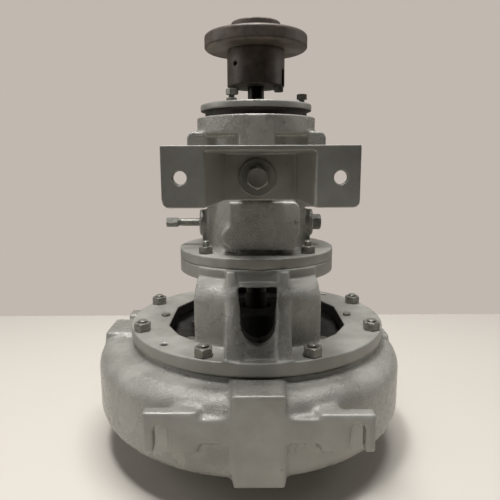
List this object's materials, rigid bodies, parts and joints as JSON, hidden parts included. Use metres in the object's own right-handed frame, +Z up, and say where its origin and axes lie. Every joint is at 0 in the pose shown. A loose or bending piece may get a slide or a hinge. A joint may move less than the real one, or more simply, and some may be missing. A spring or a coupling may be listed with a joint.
{
  "type": "centrifugal pump",
  "caption": "Frame-mounted end-suction centrifugal pump with a cast volute casing, domed adapter, bearing frame, bent plate foot and coupling half, standing on its suction flange.",
  "frame": {"origin": "centre of the suction flange's lower face", "axes": "+Z up the shaft towards the coupling, -Y towards the mounting feet, +Y towards the discharge flange"},
  "size_m": [0.4282, 0.496, 0.5836],
  "materials": {
    "casing_enamel": "semi-gloss grey enamel over rough cast iron",
    "coupling_iron": "machined, brown-black oxide",
    "impeller_iron": "as cast, bare",
    "fastener_steel": "dull zinc under overspray",
    "shaft_steel": "turned",
    "bearing_steel": "ground and polished",
    "bronze": "turned",
    "seal_ceramic": "lapped ceramic",
    "seal_rubber": "moulded",
    "gasket_fibre": "compressed fibre"
  },
  "bodies": {
    "root": {"volute_casing": "casing_enamel", "wear_ring": "bronze", "casing_cover": "casing_enamel", "casing_gasket": "gasket_fibre", "seal_seat": "seal_ceramic", "adapter": "casing_enamel", "casing_studs": "fastener_steel", "casing_nuts": "fastener_steel", "jack_screws": "fastener_steel", "cover_cap_screws": "fastener_steel", "bearing_frame": "casing_enamel", "frame_studs": "fastener_steel", "frame_nuts": "fastener_steel", "pipe_nipple": "fastener_steel", "pipe_cap": "casing_enamel", "frame_plug": "casing_enamel", "support_foot": "casing_enamel", "foot_washer": "fastener_steel", "foot_bolt": "fastener_steel", "bearing_cover": "casing_enamel", "end_gasket": "gasket_fibre", "outboard_lip_seal": "seal_rubber", "inboard_lip_seal": "seal_rubber", "cover_bolts": "fastener_steel", "cover_jam_nut": "fastener_steel", "inboard_outer_race": "bearing_steel", "outboard_outer_race": "bearing_steel"},
    "rotor": {"shaft": "shaft_steel", "impeller": "impeller_iron", "impeller_key": "shaft_steel", "impeller_washer": "shaft_steel", "impeller_screw": "fastener_steel", "shaft_sleeve": "bronze", "seal_head": "shaft_steel", "seal_spring": "shaft_steel", "slinger": "seal_rubber", "inboard_inner_race": "bearing_steel", "outboard_inner_race": "bearing_steel", "lock_washer": "shaft_steel", "lock_nut": "shaft_steel", "coupling_hub": "coupling_iron", "coupling_flange": "coupling_iron", "coupling_key": "shaft_steel", "coupling_set_screw": "fastener_steel", "coupling_screws": "fastener_steel"},
    "inboard_ball_set": {"inboard_balls": "bearing_steel", "inboard_cage": "bronze"},
    "outboard_ball_set": {"outboard_balls": "bearing_steel", "outboard_cage": "bronze"}
  },
  "joints": [
    {"name": "rotor_spin", "type": "hinge", "parent": "root", "child": "rotor", "pos_m": [0, 0, 0], "axis": [0, 0, 1], "continuous": true},
    {"name": "inboard_ball_orbit", "type": "hinge", "parent": "root", "child": "inboard_ball_set", "pos_m": [0, 0, 0.3121], "axis": [0, 0, 1], "continuous": true},
    {"name": "outboard_ball_orbit", "type": "hinge", "parent": "root", "child": "outboard_ball_set", "pos_m": [0, 0, 0.4391], "axis": [0, 0, 1], "continuous": true}
  ],
  "couplings": [
    {"joint": "inboard_ball_orbit", "follows": "rotor_spin", "ratio": 0.3794},
    {"joint": "outboard_ball_orbit", "follows": "rotor_spin", "ratio": 0.3794}
  ]
}
